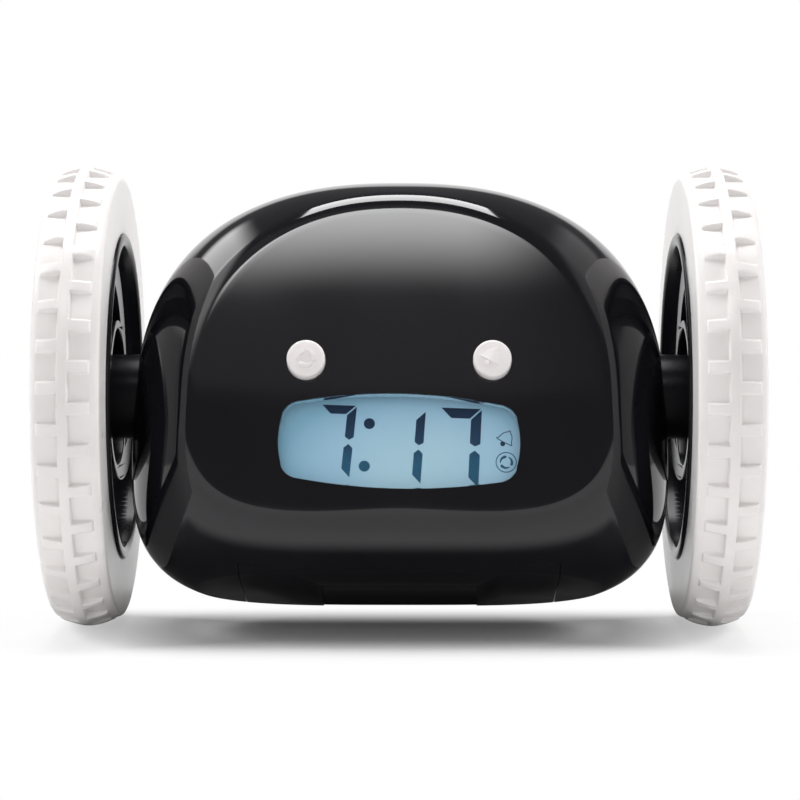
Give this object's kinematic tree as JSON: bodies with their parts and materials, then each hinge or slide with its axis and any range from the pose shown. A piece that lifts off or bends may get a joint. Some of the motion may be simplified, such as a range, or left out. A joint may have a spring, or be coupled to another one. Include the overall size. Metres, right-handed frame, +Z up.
{
  "type": "runaway alarm clock",
  "caption": "Alarm clock in a rounded gloss pod with a digital display, hung between two large lugged wheels driven by motors inside, so that it rolls away when it rings.",
  "frame": {"origin": "on the floor under the middle of the clock, at the centre of the bounding box's base", "axes": "+X to the right as seen from the front, along the wheel axle; +Y to the back; +Z up"},
  "size_m": [0.133, 0.089, 0.089],
  "materials": {
    "casing": "gloss",
    "window": "gloss",
    "display": "gloss",
    "backlight": "satin",
    "buttons": "satin",
    "dark_buttons": "gloss",
    "tyre": "matte",
    "hub": "satin",
    "inner_plastic": "satin",
    "gear": "satin",
    "steel": "satin",
    "bronze": "satin",
    "motor_can": "satin",
    "cell": "satin",
    "circuit_board": "satin",
    "switch": "matte",
    "sounder": "matte"
  },
  "bodies": {
    "casing": {"front_shell": "casing", "rear_shell": "casing", "casing_screws": "steel", "display_window": "window", "lcd_panel": "display", "backlight_panel": "backlight", "main_board": "circuit_board", "board_screws": "steel", "mode_switches": "switch", "snooze_switch": "switch", "set_board": "circuit_board", "set_switches": "switch", "speaker": "sounder", "battery_tray": "inner_plastic", "batteries": "cell", "battery_springs": "steel", "battery_plates": "steel", "left_motor": "motor_can", "left_idler_pin": "steel", "left_axle_bush": "bronze", "left_gear_frame": "inner_plastic", "left_gear_plate": "inner_plastic", "left_gear_screws": "steel", "right_motor": "motor_can", "right_idler_pin": "steel", "right_axle_bush": "bronze", "right_gear_frame": "inner_plastic", "right_gear_plate": "inner_plastic", "right_gear_screws": "steel"},
    "left_wheel": {"left_tyre": "tyre", "left_hub": "hub", "left_wheel_screw": "steel", "left_axle": "steel", "left_axle_gear": "gear"},
    "left_idler": {"left_idler_gear": "gear"},
    "left_motor_shaft": {"left_motor_pinion": "gear"},
    "right_wheel": {"right_tyre": "tyre", "right_hub": "hub", "right_wheel_screw": "steel", "right_axle": "steel", "right_axle_gear": "gear"},
    "right_idler": {"right_idler_gear": "gear"},
    "right_motor_shaft": {"right_motor_pinion": "gear"},
    "wheel_mode_key": {"wheel_mode_button": "buttons"},
    "alarm_mode_key": {"alarm_mode_button": "buttons"},
    "snooze_key": {"snooze_button": "dark_buttons"},
    "minute_key": {"minute_button": "dark_buttons"},
    "hour_key": {"hour_button": "dark_buttons"},
    "alarm_set_key": {"alarm_set_button": "dark_buttons"},
    "clock_set_key": {"clock_set_button": "dark_buttons"},
    "battery_cover": {"battery_door": "casing"}
  },
  "joints": [
    {"name": "left_wheel_spin", "type": "hinge", "parent": "casing", "child": "left_wheel", "pos_m": [-0.0534, 0, 0.0445], "axis": [1, 0, 0], "continuous": true},
    {"name": "left_idler_spin", "type": "hinge", "parent": "casing", "child": "left_idler", "pos_m": [-0.036, 0.00664, 0.03451], "axis": [1, 0, 0], "continuous": true},
    {"name": "left_motor_spin", "type": "hinge", "parent": "casing", "child": "left_motor_shaft", "pos_m": [-0.035, 0.01693, 0.03962], "axis": [1, 0, 0], "continuous": true},
    {"name": "right_wheel_spin", "type": "hinge", "parent": "casing", "child": "right_wheel", "pos_m": [0.0534, 0, 0.0445], "axis": [1, 0, 0], "continuous": true},
    {"name": "right_idler_spin", "type": "hinge", "parent": "casing", "child": "right_idler", "pos_m": [0.036, 0.00664, 0.03451], "axis": [1, 0, 0], "continuous": true},
    {"name": "right_motor_spin", "type": "hinge", "parent": "casing", "child": "right_motor_shaft", "pos_m": [0.035, 0.01693, 0.03962], "axis": [1, 0, 0], "continuous": true},
    {"name": "wheel_mode_press", "type": "slide", "parent": "casing", "child": "wheel_mode_key", "axis": [0, 0.9455, -0.3256], "range_m": [0, 0.0008], "stiffness_N_per_m": 1500},
    {"name": "alarm_mode_press", "type": "slide", "parent": "casing", "child": "alarm_mode_key", "axis": [0, 0.9455, -0.3256], "range_m": [0, 0.0008], "stiffness_N_per_m": 1500},
    {"name": "snooze_press", "type": "slide", "parent": "casing", "child": "snooze_key", "axis": [0, -0.3256, -0.9455], "range_m": [0, 0.0008], "stiffness_N_per_m": 1500},
    {"name": "minute_press", "type": "slide", "parent": "casing", "child": "minute_key", "axis": [0, -0.9455, 0.3256], "range_m": [0, 0.0006], "stiffness_N_per_m": 1500},
    {"name": "hour_press", "type": "slide", "parent": "casing", "child": "hour_key", "axis": [0, -0.9455, 0.3256], "range_m": [0, 0.0006], "stiffness_N_per_m": 1500},
    {"name": "alarm_set_press", "type": "slide", "parent": "casing", "child": "alarm_set_key", "axis": [0, -0.9455, 0.3256], "range_m": [0, 0.0006], "stiffness_N_per_m": 1500},
    {"name": "clock_set_press", "type": "slide", "parent": "casing", "child": "clock_set_key", "axis": [0, -0.9455, 0.3256], "range_m": [0, 0.0006], "stiffness_N_per_m": 1500},
    {"name": "battery_door_off", "type": "slide", "parent": "casing", "child": "battery_cover", "axis": [0, -0.3256, -0.9455], "range_m": [0, 0.003]}
  ],
  "couplings": [
    {"joint": "left_idler_spin", "follows": "left_wheel_spin", "ratio": -3},
    {"joint": "left_motor_spin", "follows": "left_wheel_spin", "ratio": 10.8},
    {"joint": "right_idler_spin", "follows": "right_wheel_spin", "ratio": -3},
    {"joint": "right_motor_spin", "follows": "right_wheel_spin", "ratio": 10.8}
  ]
}
